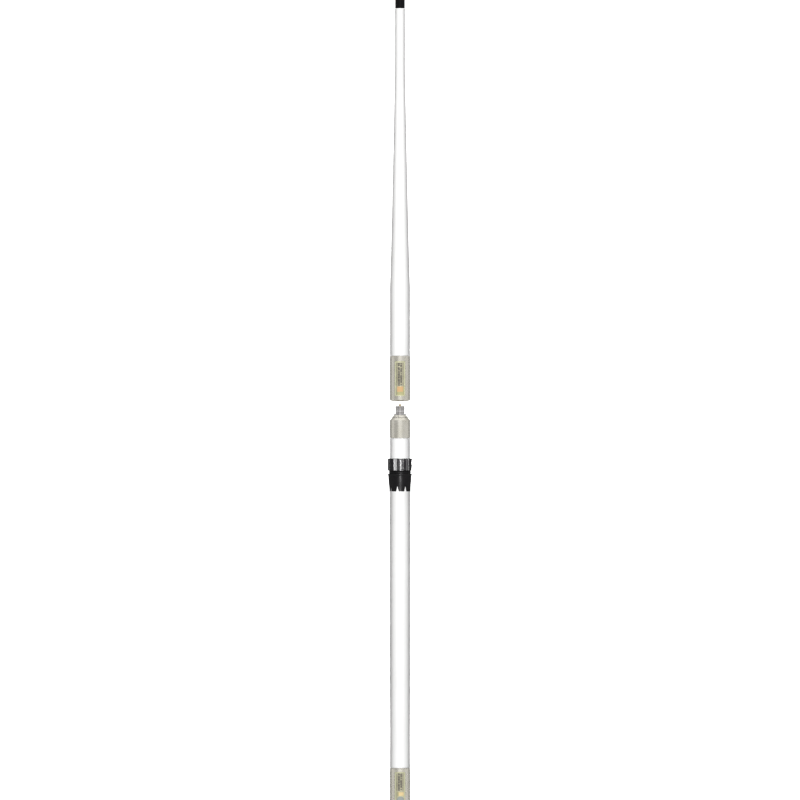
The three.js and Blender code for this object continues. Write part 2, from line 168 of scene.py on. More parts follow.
class Finish(Nodes):
    """A material: one Principled shader, with helpers for the patterns that feed it."""

    def __init__(self, name, colour, roughness, **sockets):
        self.material = bpy.data.materials.new(name)
        self.material.use_nodes = True
        super().__init__(self.material.node_tree)
        self.shader = self.tree.nodes["Principled BSDF"]
        self.paint((*colour, 1))
        self.roughen(roughness)
        for socket, value in sockets.items():
            self.feed(self.shader.inputs[socket.replace("_", " ")], value)
        self.place = self.node("ShaderNodeTexCoord").outputs["Object"]

    def stretched(self, x, y, z):
        """The place in the piece, scaled, so that a pattern is long in one direction."""
        return self.node("ShaderNodeMapping", {"Vector": self.place, "Scale": (x, y, z)}).outputs[0]

    def noise(self, scale, detail=3.0, place=None):
        """Soft noise with this many cells to a metre, or to a unit of the stretched place."""
        inputs = {"Vector": place or self.place, "Scale": scale, "Detail": detail}
        return self.node("ShaderNodeTexNoise", inputs).outputs["Fac"]

    def paint(self, colour):
        self.feed(self.shader.inputs["Base Color"], colour)

    def roughen(self, value):
        self.feed(self.shader.inputs["Roughness"], value)

    def bump(self, height, depth_mm):
        """Raises the surface by depth_mm where height is 1. Called again, it adds to what is there."""
        inputs = {"Height": height, "Distance": depth_mm * MM, "Strength": 1.0}
        made = self.node("ShaderNodeBump", inputs)
        below = self.shader.inputs["Normal"]
        if below.is_linked:
            self.feed(made.inputs["Normal"], below.links[0].from_socket)
        self.feed(below, made.outputs["Normal"])


def radome_white():
    """Glossy white coat over fibreglass, with a faint orange peel and a trace of the cloth beneath."""
    coat = {"Coat_Weight": 1.0, "Coat_Roughness": 0.12, "Specular_IOR_Level": 0.1}
    made = Finish("radome_white", (0.86, 0.86, 0.855), 0.3, **coat)
    cloud = made.spread(made.noise(14, 4), 0, 1)
    fibres = made.spread(made.noise(1, 5, made.stretched(700, 700, 26)), 0, 1)
    cloth = made.maths("MULTIPLY", cloud, fibres)
    made.paint(made.blend(cloth, (0.875, 0.875, 0.872), (0.83, 0.83, 0.822)))
    made.roughen(made.spread(made.noise(55, 4), 0.24, 0.36))
    made.bump(made.noise(620, 2), 0.01)
    made.bump(made.noise(90, 2), 0.015)
    return made.material


def turned_metal(name, light, dark, roughness):
    """Metal with the fine rings that a lathe leaves, a little tarnish, and worn-in scuffs."""
    made = Finish(name, light, roughness, Metallic=1.0)
    tarnish = made.spread(made.noise(60, 5), 0, 1)
    made.paint(made.blend(made.maths("MULTIPLY", tarnish, 0.55), light, dark))
    rings = made.noise(1, 3, made.stretched(30, 30, 6500))
    scuffs = made.noise(240, 4)
    wear = made.maths("ADD", made.spread(rings, -0.05, 0.07), made.spread(scuffs, -0.04, 0.05))
    made.roughen(made.maths("ADD", wear, roughness))
    made.bump(rings, 0.002)
    return made.material


def drawn_brass():
    made = Finish("radiator_brass", (0.62, 0.47, 0.22), 0.36, Metallic=1.0)
    streaks = made.noise(1, 4, made.stretched(2600, 2600, 30))
    made.paint(made.blend(made.spread(made.noise(45, 5), 0, 1), (0.66, 0.5, 0.24), (0.42, 0.28, 0.12)))
    made.roughen(made.spread(streaks, 0.28, 0.46))
    made.bump(streaks, 0.006)
    return made.material


def enamelled_copper():
    made = Finish("coil_copper", (0.62, 0.24, 0.1), 0.28, Metallic=1.0, Coat_Weight=0.7, Coat_Roughness=0.1)
    made.paint(made.blend(made.spread(made.noise(180, 4), 0, 1), (0.66, 0.27, 0.11), (0.42, 0.13, 0.05)))
    made.bump(made.noise(900, 3), 0.006)
    return made.material


def waxy_insulator():
    made = Finish("white_insulator", (0.84, 0.84, 0.81), 0.42)
    made.paint(made.blend(made.spread(made.noise(120, 4), 0, 1), (0.86, 0.86, 0.84), (0.78, 0.775, 0.74)))
    made.bump(made.noise(1, 3, made.stretched(60, 60, 4200)), 0.008)
    return made.material


def closed_foam():
    made = Finish("spacer_foam", (0.8, 0.79, 0.74), 0.9)
    cells = made.node("ShaderNodeTexVoronoi", {"Vector": made.place, "Scale": 900.0}).outputs["Distance"]
    made.paint(made.blend(made.spread(cells, 0, 1, 0, 0.8), (0.7, 0.69, 0.63), (0.84, 0.83, 0.79)))
    made.bump(cells, 0.25)
    return made.material


def cable_jacket():
    made = Finish("coax_jacket", (0.78, 0.78, 0.78), 0.45)
    made.paint(made.blend(made.spread(made.noise(60, 4), 0, 1), (0.8, 0.8, 0.8), (0.7, 0.7, 0.69)))
    made.bump(made.noise(400, 3), 0.02)
    return made.material


def sintered_ferrite():
    made = Finish("ferrite", (0.02, 0.02, 0.022), 0.55)
    grain = made.noise(2600, 4)
    made.paint(made.blend(made.spread(grain, 0, 1), (0.016, 0.016, 0.018), (0.045, 0.045, 0.048)))
    made.bump(grain, 0.03)
    return made.material


def satin_rubber():
    made = Finish("black_rubber", (0.014, 0.014, 0.014), 0.5)
    dust = made.spread(made.noise(420, 5), 0, 1, 0.5, 0.8)
    made.paint(made.blend(dust, (0.012, 0.012, 0.012), (0.05, 0.049, 0.047)))
    made.roughen(made.spread(made.noise(160, 3), 0.42, 0.62))
    made.bump(made.noise(1500, 3), 0.012)
    return made.material


def grey_silicone():
    made = Finish("grey_silicone", (0.59, 0.58, 0.555), 0.5)
    made.paint(made.blend(made.spread(made.noise(300, 4), 0, 1), (0.59, 0.58, 0.555), (0.5, 0.49, 0.465)))
    made.bump(made.noise(1500, 3), 0.01)
    return made.material


def moulded_black(name, grain_depth, polished_below=0.0):
    """Semi-gloss black nylon: a fine spark-eroded grain, softer patches where hands have rubbed it.
    Nearer the axis than polished_below, in mm, the mould was polished."""
    made = Finish(name, (0.022, 0.0212, 0.0225), 0.3)
    grain = made.noise(1900, 3)
    speck = made.spread(grain, 0, 1, 0.62, 0.8)
    made.paint(made.blend(speck, (0.02, 0.0193, 0.0205), (0.06, 0.058, 0.061)))
    rubbed = made.spread(made.noise(70, 4), 0.26, 0.42)
    grained = made.maths("ADD", rubbed, made.maths("MULTIPLY", speck, 0.2))
    glossy = made.spread(made.noise(200, 4), 0.12, 0.18)
    smooth = made.maths("ADD", glossy, made.maths("MULTIPLY", speck, 0.1))
    level = made.node("ShaderNodeVectorMath", {0: made.place, 1: (1, 1, 0)}, operation="MULTIPLY").outputs[0]
    from_axis = made.node("ShaderNodeVectorMath", {0: level}, operation="LENGTH").outputs["Value"]
    edge, fade = polished_below * MM, 0.15 * MM
    polish = made.spread(from_axis, 1, 0, edge - fade, edge + fade)
    change = made.maths("MULTIPLY", polish, made.maths("SUBTRACT", smooth, grained))
    made.roughen(made.maths("ADD", grained, change))
    made.bump(made.maths("MULTIPLY", grain, made.maths("SUBTRACT", 1.15, polish)), grain_depth)
    return made.material


# A print is a list of marks on the foil. A mark says what it is, its spans across (x) and up (z) in mm, and
# its colour. Type is shown as plain blocks only, which carry no letters.
FOIL = (0.7, 0.68, 0.54)
FOIL_SHADE = (0.58, 0.56, 0.44)
FOIL_METALLIC, PRINT_METALLIC = 0.75, 0.1
INK = (0.2, 0.19, 0.178)
PALE_INK = (0.295, 0.283, 0.239)
AMBER = (0.655, 0.485, 0.308)
DULL_AMBER = (0.76, 0.64, 0.41)
STRAW = (0.515, 0.5, 0.322)
# Pale border colour: print, lightened so that it also paints the highlight along the label's sides
PALE_STRAW_AND_HIGHLIGHT = (0.66, 0.665, 0.5)
GREY_BLUE = (0.42, 0.45, 0.43)


def label_foil(name, marks):
    """Satin olive-gold foil, finely brushed along its length, with its print laid over it."""
    made = Finish(name, FOIL, 0.36, Metallic=FOIL_METALLIC)
    axis = made.node("ShaderNodeSeparateXYZ", {"Vector": made.place})
    across = made.maths("DIVIDE", axis.outputs["X"], MM)
    up = made.maths("DIVIDE", axis.outputs["Z"], MM)
    brushed = made.noise(1, 4, made.stretched(5200, 5200, 60))
    colour = made.blend(made.spread(made.noise(110, 4), 0, 1), FOIL, FOIL_SHADE)
    printed = None
    for mark in marks:
        mask = mark_mask(made, mark, across, up)
        colour = made.blend(mask, colour, mark["colour"])
        printed = mask if printed is None else made.maths("MAXIMUM", printed, mask)
    made.paint(colour)
    metallic = made.spread(printed, FOIL_METALLIC, PRINT_METALLIC, 0, 1)
    made.feed(made.shader.inputs["Metallic"], metallic)
    made.roughen(made.maths("ADD", made.spread(brushed, 0.28, 0.42), made.maths("MULTIPLY", printed, 0.1)))
    made.bump(brushed, 0.004)
    made.bump(printed, 0.01)
    return made.material


def within(made, value, span):
    """1 where the value lies in the span, else 0."""
    middle, half = (span[0] + span[1]) / 2, (span[1] - span[0]) / 2
    return made.maths("COMPARE", value, middle, half)


def mark_mask(made, mark, across, up):
    """1 where the mark is printed, else 0."""
    if mark["kind"] == "disc":
        return disc_mask(made, mark, across, up)
    mask = made.maths("MULTIPLY", within(made, across, mark["x"]), within(made, up, mark["z"]))
    if mark["kind"] == "type":
        return made.maths("MULTIPLY", mask, block_mask(made, mark, across, up))
    return mask


def disc_mask(made, mark, across, up):
    left, right = mark["x"]
    foot, top = mark["z"]
    from_x = made.maths("SUBTRACT", across, (left + right) / 2)
    from_z = made.maths("SUBTRACT", up, (foot + top) / 2)
    squares = made.maths("ADD", made.maths("POWER", from_x, 2), made.maths("POWER", from_z, 2))
    return made.maths("LESS_THAN", squares, ((right - left) / 2) ** 2)


def block_mask(made, mark, across, up):
    """Blocks up the mark, one to each pitch. Their lengths vary, and so do their starts on the left."""
    left, right = mark["x"]
    longest, widest_margin = 0.84, 0.12  # shares of the pitch and of the width
    along = made.maths("DIVIDE", made.maths("SUBTRACT", up, mark["z"][0]), mark["pitch"])
    cell = made.maths("ADD", made.maths("FLOOR", along), left)
    chances = made.node("ShaderNodeTexWhiteNoise", {"W": cell}, noise_dimensions="1D").outputs
    length = made.spread(chances["Value"], 0, longest, 0.08, 0.3)
    lean = made.node("ShaderNodeSeparateColor", {"Color": chances["Color"]}).outputs["Green"]
    start = made.spread(lean, left, left + widest_margin * (right - left), 0.35, 0.65)
    short_enough = made.maths("LESS_THAN", made.maths("FRACT", along), length)
    past_start = made.maths("GREATER_THAN", across, start)
    return made.maths("MULTIPLY", short_enough, past_start)


def patch(x_span, z_span, colour):
    return {"kind": "patch", "x": x_span, "z": z_span, "colour": colour}


def type_lines(z_span, right_line):
    """Type that runs up the label: a large line and a smaller one, with a fine line on each side."""
    lines = (
        ((-3.9, -0.3), 2.9, INK),
        ((0.3, 3.9), 1.8, INK),
        ((-6.4, -5.4), 1.1, PALE_INK),
        (right_line, 1.1, PALE_INK),
    )
    return [
        {"kind": "type", "x": x_span, "z": z_span, "colour": colour, "pitch": pitch}
        for x_span, pitch, colour in lines
    ]


def joint_label_marks(low, high):
    """The joint label, from its lower edge: a straw patch with amber in its upper part, then type."""
    patch_top = low + 18.5
    return [
        *border_and_side_highlight(low, high),
        patch((-5.5, 7.5), (low + 2.4, patch_top), STRAW),
        patch((-5.5, 6), (low + 8.5, patch_top), AMBER),
        *type_lines((low + 20, high - 4), (5.3, 6.3)),
    ]


def base_label_marks(low, high):
    """The base label, from its lower edge: a grey-blue disc, a patch half straw and half amber, then type."""
    patch_span = (low + 19.5, low + 26.5)
    return [
        *border_and_side_highlight(low, high),
        {"kind": "disc", "x": (-6.5, 8.5), "z": (low + 3, low + 18), "colour": GREY_BLUE},
        patch((-5, -2.5), patch_span, STRAW),
        patch((-2.5, 7), patch_span, DULL_AMBER),
        *type_lines((low + 29.5, high - 2.5), (5, 6)),
    ]


def border_and_side_highlight(low, high):
    """A thin pale line a little inside the label's edges. It is part print and part painted highlight: it is
    paler than the print, so it stands in for the light that the foil's sides catch.
    """
    side, inset, width = 9.4, 1.0, 1.4
    foot, top = low + inset, high - inset
    return [
        *(patch((x, x + width), (foot, top), PALE_STRAW_AND_HIGHLIGHT) for x in (-side, side - width)),
        *(patch((-side, side), (z, z + width), PALE_STRAW_AND_HIGHLIGHT) for z in (foot, top - width)),
    ]


looks = {
    "radome_white": radome_white(),
    "ferrule_metal": turned_metal("ferrule_metal", (0.86, 0.84, 0.785), (0.76, 0.735, 0.65), 0.28),
    "stud_steel": turned_metal("stud_steel", (0.76, 0.75, 0.75), (0.63, 0.62, 0.61), 0.28),
    "connector_plating": turned_metal("connector_plating", (0.74, 0.73, 0.7), (0.62, 0.6, 0.56), 0.24),
    "contact_brass": turned_metal("contact_brass", (0.78, 0.64, 0.36), (0.64, 0.5, 0.26), 0.24),
    "radiator_brass": drawn_brass(),
    "coil_copper": enamelled_copper(),
    "white_insulator": waxy_insulator(),
    "spacer_foam": closed_foam(),
    "coax_jacket": cable_jacket(),
    "ferrite": sintered_ferrite(),
    "black_rubber": satin_rubber(),
    "grey_silicone": grey_silicone(),
    "collar_plastic": moulded_black("collar_plastic", 0.03),
    "cap_plastic": moulded_black("cap_plastic", 0.02),
}


# ---------------------------------------------------------------- outlines
def cad_outline(node):
    """A turned CAD node's outline in the half plane y = 0, x > 0, and whether it closes on itself."""
    mesh = bmesh.new()
    mesh.from_mesh(frame["nodes"][node].data)
    bmesh.ops.remove_doubles(mesh, verts=mesh.verts, dist=TINY)
    flat = {v for v in mesh.verts if abs(v.co.y) < TINY and v.co.x > -TINY}
    joined = {v: [e.other_vert(v) for e in v.link_edges if e.other_vert(v) in flat] for v in flat}
    ends = [v for v in flat if len(joined[v]) == 1]
    start = min(ends or flat, key=lambda v: (v.co.z, v.co.x))
    walk = [start]
    here, before = start, None
    while True:
        onward = [v for v in joined[here] if v is not before and v is not start]
        if not onward:
            break
        before, here = here, onward[0]
        walk.append(here)
        if not ends and len(walk) > 2 and start in joined[here]:
            break
    points = [Vector((v.co.x / MM, v.co.z / MM, 0)) for v in walk]
    mesh.free()
    return points, not ends


def point(radius, height, share=0):
    """A point of an outline, and the share of the relief that it carries."""
    return Vector((radius, height, share))


def rounded(outline, closed, radius):
    """The outline with each corner made an arc. A point close behind each arc keeps the flats shaded flat."""
    smooth_turn, arc_step = math.radians(12), math.radians(25)
    brace, most_of_edge = 0.2, 0.42
    points = []
    for i, here in enumerate(outline):
        if not closed and i in (0, len(outline) - 1):
            points.append(here)
            continue
        back = outline[i - 1] - here
        on = outline[(i + 1) % len(outline)] - here
        turn = math.pi - back.xy.angle(on.xy)
        if turn < smooth_turn:
            points.append(here)
            continue
        shorter = min(back.xy.length, on.xy.length)
        reach = min(radius * math.tan(turn / 2), most_of_edge * shorter)
        start = here + back * (reach / back.xy.length)
        end = here + on * (reach / on.xy.length)
        if back.xy.length > 3 * (reach + brace):
            points.append(here + back * ((reach + brace) / back.xy.length))
        steps = max(2, round(turn / arc_step))
        for k in range(steps + 1):
            t = k / steps
            points.append(start * (1 - t) ** 2 + here * 2 * t * (1 - t) + end * t ** 2)
        if on.xy.length > 3 * (reach + brace):
            points.append(here + on * ((reach + brace) / on.xy.length))
    return points


def threaded_rows(radius, z0, z1, pitch):
    """Outline points up a threaded stretch. Their share of the relief fades in and out over half a pitch."""
    rows_per_pitch = 10
    rows = max(2, round(abs(z1 - z0) / pitch * rows_per_pitch))
    fade = pitch / 2
    points = []
    for k in range(rows + 1):
        z = z0 + (z1 - z0) * k / rows
        points.append(point(radius, z, min(1, abs(z - z0) / fade, abs(z1 - z) / fade)))
    return points


def with_thread(outline, closed, radius, pitch):
    """The outline with its long upright edge at this radius cut into rows that can carry a thread."""
    tolerance, plain_end = 0.05, 0.3
    points = []
    count = len(outline)
    for i, here in enumerate(outline):
        points.append(here)
        on = outline[(i + 1) % count]
        upright = abs(here.x - radius) < tolerance and abs(on.x - radius) < tolerance
        if (closed or i < count - 1) and upright and abs(on.y - here.y) > 2 * pitch:
            low, high = sorted((here.y, on.y))
            rows = threaded_rows(radius, low + plain_end, high - plain_end, pitch)
            points.extend(rows if on.y > here.y else rows[::-1])
    return points


def screw(pitch, height, phase=0.0):
    """A right-handed thread's relief: height at its crest, 0 at its root. A height below 0 cuts inward."""
    crest_half, root_half = 0.14, 0.8

    def relief(angle, z):
        share = (z / pitch - angle / (2 * math.pi) + phase) % 1
        from_crest = abs(2 * share - 1)
        return height * min(1, max(0, (root_half - from_crest) / (root_half - crest_half)))

    return relief


def flutes(angle, _z):
    """Shallow hollows cut into the collar nut's grip, deepest in the middle, with soft sides."""
    start, end, side = 0.33, 0.97, 0.06
    depth_at_sides, bow_depth = 0.8, 0.25
    share = (angle / (2 * math.pi) * FLUTES - FLUTE_PHASE) % 1
    ramp = min(1, max(0, min(share - start, end - share) / side))
    bow = bow_depth * math.cos(math.pi * (share - (start + end) / 2) / (end - start))
    return -FLUTE_DEPTH * (depth_at_sides + bow) * eased(ramp)


def eased(share):
    """0 to 1, level at both ends."""
    return share * share * (3 - 2 * share)


# ---------------------------------------------------------------- meshes
def polar(radius, angle, z):
    """The place, in metres, of a point given in millimetres and radians."""
    return radius * math.cos(angle) * MM, radius * math.sin(angle) * MM, z * MM


def turned_mesh(outline, closed, steps, relief=None):
    """The outline turned about Z. A point adds its share of relief(angle, z) to its radius."""
    mesh = bmesh.new()
    rings = []
    for r, z, share in outline:
        if r < ON_AXIS:
            rings.append([mesh.verts.new((0, 0, z * MM))])
            continue
        ring = []
        for i in range(steps):
            angle = 2 * math.pi * i / steps
            radius = r + (share * relief(angle, z) if share and relief else 0)
            ring.append(mesh.verts.new(polar(radius, angle, z)))
        rings.append(ring)
    ends = rings[1:] + (rings[:1] if closed else [])
    for low, high in zip(rings, ends):
        bridge(mesh, low, high)
    return mesh


def bridge(mesh, low, high):
    """Faces between two rings, or between a ring and a point on the axis."""
    count = max(len(low), len(high))
    if count == 1:
        return
    for i in range(count):
        j = (i + 1) % count
        corners = [low[i % len(low)], low[j % len(low)], high[j % len(high)], high[i % len(high)]]
        mesh.faces.new(list(dict.fromkeys(corners)))


def fill_rows(mesh, rows):
    """Faces between rows of points that don't close round."""
    for here, there in zip(rows, rows[1:]):
        for k in range(len(here) - 1):
            mesh.faces.new((here[k], here[k + 1], there[k + 1], there[k]))


def wound_mesh(coil_r, wire_r, z0, z1, turns):
    """Round wire wound about Z, its two ends cut square."""
    steps_per_turn, sides = 32, 10
    steps = round(turns * steps_per_turn)
    rise = (z1 - z0) / (2 * math.pi * turns * coil_r)
    mesh = bmesh.new()
    rings = []
    for k in range(steps + 1):
        angle = 2 * math.pi * turns * k / steps
        out = Vector((math.cos(angle), math.sin(angle), 0))
        centre = out * coil_r + Vector((0, 0, z0 + (z1 - z0) * k / steps))
        up = Vector((rise * math.sin(angle), -rise * math.cos(angle), 1)).normalized()
        ring = []
        for s in range(sides):
            side = 2 * math.pi * s / sides
            from_centre = (out * math.cos(side) + up * math.sin(side)) * wire_r
            ring.append(mesh.verts.new((centre + from_centre) * MM))
        rings.append(ring)
    for low, high in zip(rings, rings[1:]):
        bridge(mesh, low, high)
    mesh.faces.new(rings[0])
    mesh.faces.new(rings[-1])
    return mesh


def mark_sharp(obj, degrees):
    """Keeps edges sharper than this crisp under smooth shading."""
    mesh = bmesh.new()
    mesh.from_mesh(obj.data)
    for edge in mesh.edges:
        if edge.is_manifold and edge.calc_face_angle() > math.radians(degrees):
            edge.smooth = False
    mesh.to_mesh(obj.data)
    mesh.free()


def new_object(name, data):
    made = bpy.data.objects.new(name, data)
    bpy.context.scene.collection.objects.link(made)
    return made


def add_piece(name, mesh, node, look=None):
    """The mesh as a smooth-shaded object that stands for this CAD node and rides on its body."""
    bmesh.ops.recalc_face_normals(mesh, faces=mesh.faces)
    data = bpy.data.meshes.new(name)
    mesh.to_mesh(data)
    mesh.free()
    data.shade_smooth()
    made = new_object(name, data)
    data.materials.append(look or looks[slot_of[node]])
    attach(made, body_of[node])
    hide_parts(node)
    return made


# ---------------------------------------------------------------- pieces
ROUND = 96
SMALL_ROUND = 48

# Plain turned nodes: corner radius in mm, and steps round the axis
TURNED = {
    "coax_connector_insulator": (0.3, SMALL_ROUND),
    "coax_connector_contact": (0.2, SMALL_ROUND),
    "lower_tube": (0.6, ROUND),
    "feed_coax": (0.4, SMALL_ROUND),
    "ferrite_bead_1": (1.0, SMALL_ROUND),
    "ferrite_bead_2": (1.0, SMALL_ROUND),
    "ferrite_bead_3": (1.0, SMALL_ROUND),
    "decoupling_sleeve": (0.3, SMALL_ROUND),
    "lower_radiator": (0.4, SMALL_ROUND),
    "lower_coil_former": (0.4, SMALL_ROUND),
    "joint_feed_rod": (0.3, SMALL_ROUND),
    "lower_centring_disc_1": (0.8, SMALL_ROUND),
    "lower_centring_disc_2": (0.8, SMALL_ROUND),
    "lower_centring_disc_3": (0.8, SMALL_ROUND),
    "stud_insulator": (0.25, SMALL_ROUND),
    "contact_barrel": (0.2, SMALL_ROUND),
    "contact_pin": (0.3, SMALL_ROUND),
    "joint_slip_washer": (0.2, ROUND),
    "socket_insulator": (0.4, SMALL_ROUND),
    "contact_socket": (0.3, SMALL_ROUND),
    "upper_radiator": (0.3, SMALL_ROUND),
    "upper_coil_former": (0.4, SMALL_ROUND),
    "tip_radiator": (0.3, SMALL_ROUND),
    "upper_tube": (0.6, ROUND),
    "upper_centring_disc_1": (0.8, SMALL_ROUND),
    "upper_centring_disc_2": (0.8, SMALL_ROUND),
    "upper_centring_disc_3": (0.8, SMALL_ROUND),
    "tip_cap": (1.6, ROUND),
    "collar_grip_sleeve": (0.2, ROUND),
    "collar_slip_ring": (0.25, ROUND),
}


def add_turned_pieces():
    for node, (corner, steps) in TURNED.items():
        outline, closed = cad_outline(node)
        add_piece(f"{node}_turned", turned_mesh(rounded(outline, closed, corner), closed, steps), node)


# Turned nodes with a thread that goes inward from its radius: corner radius, then the thread's radius, pitch
# and depth, all in mm, and its phase
THREADED = {
    "base_ferrule": (0.3, MOUNT_SOCKET_R, MOUNT_PITCH, 0.55, 0.0),
    "upper_ferrule": (0.3, STUD_SOCKET_R, STUD_PITCH, 1.3, 0.5),
    "coax_connector_shell": (0.25, CONNECTOR_THREAD_R, CONNECTOR_PITCH, 0.5, 0.0),
}


def add_threaded_pieces():
    for node, (corner, radius, pitch, depth, phase) in THREADED.items():
        outline, closed = cad_outline(node)
        outline = with_thread(rounded(outline, closed, corner), closed, radius, pitch)
        add_piece(f"{node}_turned", turned_mesh(outline, closed, ROUND, screw(pitch, -depth, phase)), node)


def o_ring_section():
    """The centre and radius of the O-ring's section. It sits deeper in the cone than the CAD ring does."""
    low, high = box_mm("joint_o_ring")
    cad_r = (high.z - low.z) / 2
    sunk, slimmer = 0.25, 0.3
    centre = Vector((high.x - cad_r - sunk, (low.z + high.z) / 2 - sunk))
    return centre, cad_r - slimmer


def add_joint_ferrule():
    """A spigot in the lower tube, a sleeve, and a cone with a half-round groove for the O-ring."""
    low, high = box_mm("joint_ferrule")
    ring_centre, ring_r = o_ring_section()
    spigot_r, spigot_length, chamfer = 15.25, 30, 0.5
    passage_r, shank_bore_r, shank_depth = 5.5, 9.3, 29.7
    cone_top_r, cone_height = 11.5, 9.5
    groove_r, groove_steps = ring_r + 0.2, 12
    foot = low.z + spigot_length
    shoulder = high.z - cone_height
    shank_floor = high.z - shank_depth
    slope = Vector((cone_top_r - FERRULE_R, cone_height)).normalized()
    outward = Vector((slope.y, -slope.x))
    groove = []
    for k in range(groove_steps + 1):
        angle = math.pi * (k / groove_steps - 0.5)
        groove.append(ring_centre + (slope * math.sin(angle) - outward * math.cos(angle)) * groove_r)
    outline = [
        point(passage_r, low.z),
        point(spigot_r, low.z),
        point(spigot_r, foot),
        point(FERRULE_R - chamfer, foot),
        point(FERRULE_R, foot + chamfer),
        point(FERRULE_R, shoulder),
        *(point(r, z) for r, z in groove),
        point(cone_top_r, high.z),
        point(shank_bore_r, high.z),
        point(shank_bore_r, shank_floor),
        point(passage_r, shank_floor),
    ]
    mesh = turned_mesh(rounded(outline, True, 0.3), True, ROUND)
    add_piece("joint_ferrule_turned", mesh, "joint_ferrule")


def add_o_ring():
    centre, section_r = o_ring_section()
    sides = 24
    outline = []
    for k in range(sides):
        angle = 2 * math.pi * k / sides
        outline.append(point(centre.x + section_r * math.cos(angle), centre.y + section_r * math.sin(angle)))
    add_piece("joint_o_ring_turned", turned_mesh(outline, True, ROUND), "joint_o_ring")


def add_stud():
    """Pressed shank, flange, and a 3/4-10 thread broken by a relief groove."""
    low, high = box_mm("joint_stud")
    flange_r, shank_r, bore_r = high.x, 9.0, 5.2
    flange_low = box_mm("joint_ferrule")[1].z + 0.3
    flange_high = flange_low + 2.5
    groove_low = flange_high + 3.4
    groove_high = groove_low + 3.0
    groove_r, tip_r = STUD_ROOT_R - 0.2, STUD_ROOT_R - 0.4
    step = 0.3
    outline = [
        point(bore_r, low.z),
        point(shank_r, low.z),
        point(shank_r, flange_low),
        point(flange_r, flange_low),
        point(flange_r, flange_high),
        point(STUD_ROOT_R, flange_high),
        *threaded_rows(STUD_ROOT_R, flange_high + 0.4, groove_low, STUD_PITCH),
        point(groove_r, groove_low + step),
        point(groove_r, groove_high - step),
        *threaded_rows(STUD_ROOT_R, groove_high, high.z - step, STUD_PITCH),
        point(tip_r, high.z),
        point(bore_r, high.z),
    ]
    thread = screw(STUD_PITCH, STUD_CREST_R - STUD_ROOT_R)
    mesh = turned_mesh(rounded(outline, True, 0.3), True, ROUND, thread)
    add_piece("joint_stud_turned", mesh, "joint_stud")


def add_coils():
    turns = 6
    for node, wire_r in (("lower_phasing_coil", 0.9), ("upper_phasing_coil", 0.8)):
        low, high = box_mm(node)
        coil = wound_mesh(high.x - wire_r, wire_r, low.z + wire_r, high.z - wire_r, turns)
        add_piece(f"{node}_wound", coil, node)


def add_contact_spring():
    """The spring under the contact pin, with a mesh of its own."""
    coil_r, wire_r, turns = 2, 0.3, 7
    low, high = box_mm("contact_spring")
    coil = wound_mesh(coil_r, wire_r, low.z + wire_r, high.z - wire_r, turns)
    spring = add_piece("contact_spring_wound", coil, "contact_spring")
    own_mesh(spring)


def add_label(node, marks_of):
    """A thin foil with rounded corners, wrapped round the front of its ferrule."""
    low, high = box_mm(node)
    inner_r, thickness = FERRULE_R + 0.05, 0.18
    half_width = math.radians(31) * inner_r
    corner, corner_steps, columns = 2.0, 6, 28
    front = -math.pi / 2
    turns = [math.pi / 2 * k / corner_steps for k in range(corner_steps + 1)]
    levels = [(low.z + corner * (1 - math.cos(a)), corner * (1 - math.sin(a))) for a in turns]
    levels += [(high.z - (z - low.z), inset) for z, inset in reversed(levels)]
    mesh = bmesh.new()
    rims = []
    for radius in (inner_r, inner_r + thickness):
        rows = []
        for z, inset in levels:
            half_angle = (half_width - inset) / inner_r
            angles = [front + half_angle * (2 * i / columns - 1) for i in range(columns + 1)]
            rows.append([mesh.verts.new(polar(radius, angle, z)) for angle in angles])
        fill_rows(mesh, rows)
        right, left = [row[-1] for row in rows[1:]], [row[0] for row in rows[-2:0:-1]]
        rims.append(rows[0] + right + rows[-1][-2::-1] + left)
    bridge(mesh, *rims)
    foil = label_foil(node, marks_of(low.z, high.z))
    mark_sharp(add_piece(f"{node}_foil", mesh, node, look=foil), 50)


def add_collar_nut():
    """A fluted ring. It is wide enough inside for the neck's thread up to a ledge, and narrower above."""
    low, high = box_mm("collar_nut")
    ledge = low.z + 16.2
    bore_r, neck_bore_r, outer_r = TUBE_R + 0.45, 21.4, high.x
    rim, rim_share = 0.35, 0.6
    steps_per_flute, hollow_depth = 30, 0.3
    outline = [
        point(neck_bore_r, low.z),
        point(outer_r - rim, low.z, rim_share),
        point(outer_r, low.z + rim, 1),
        point(outer_r, high.z - 2 * rim, 1),
        point(outer_r - 2 * rim, high.z, rim_share),
        point(bore_r, high.z),
        point(bore_r, ledge),
        point(neck_bore_r, ledge),
    ]
    mesh = turned_mesh(rounded(outline, True, rim), True, FLUTES * steps_per_flute, flutes)
    look = moulded_black("nut_plastic", 0.03, polished_below=outer_r - hollow_depth)
    return add_piece("collar_nut_turned", mesh, "collar_nut", look=look)


def skirt_r(height):
    """The skirt's outside radius at a height above its lower edge."""
    return SKIRT_BOTTOM_R + (SKIRT_TOP_R - SKIRT_BOTTOM_R) * eased(height / SKIRT_TOP)


def collar_angles():
    """Angles round the collar: each notch's left side and middle, then the columns of the finger after it."""
    finger_turn = NOTCH_TURN - 2 * NOTCH_TOP_HALF
    angles = []
    for i in range(NOTCHES):
        notch = (i + NOTCH_PHASE) * NOTCH_TURN
        angles += [notch - NOTCH_TOP_HALF, notch]
        finger = notch + NOTCH_TOP_HALF
        angles += [finger + finger_turn * k / FINGER_COLUMNS for k in range(FINGER_COLUMNS)]
    return angles


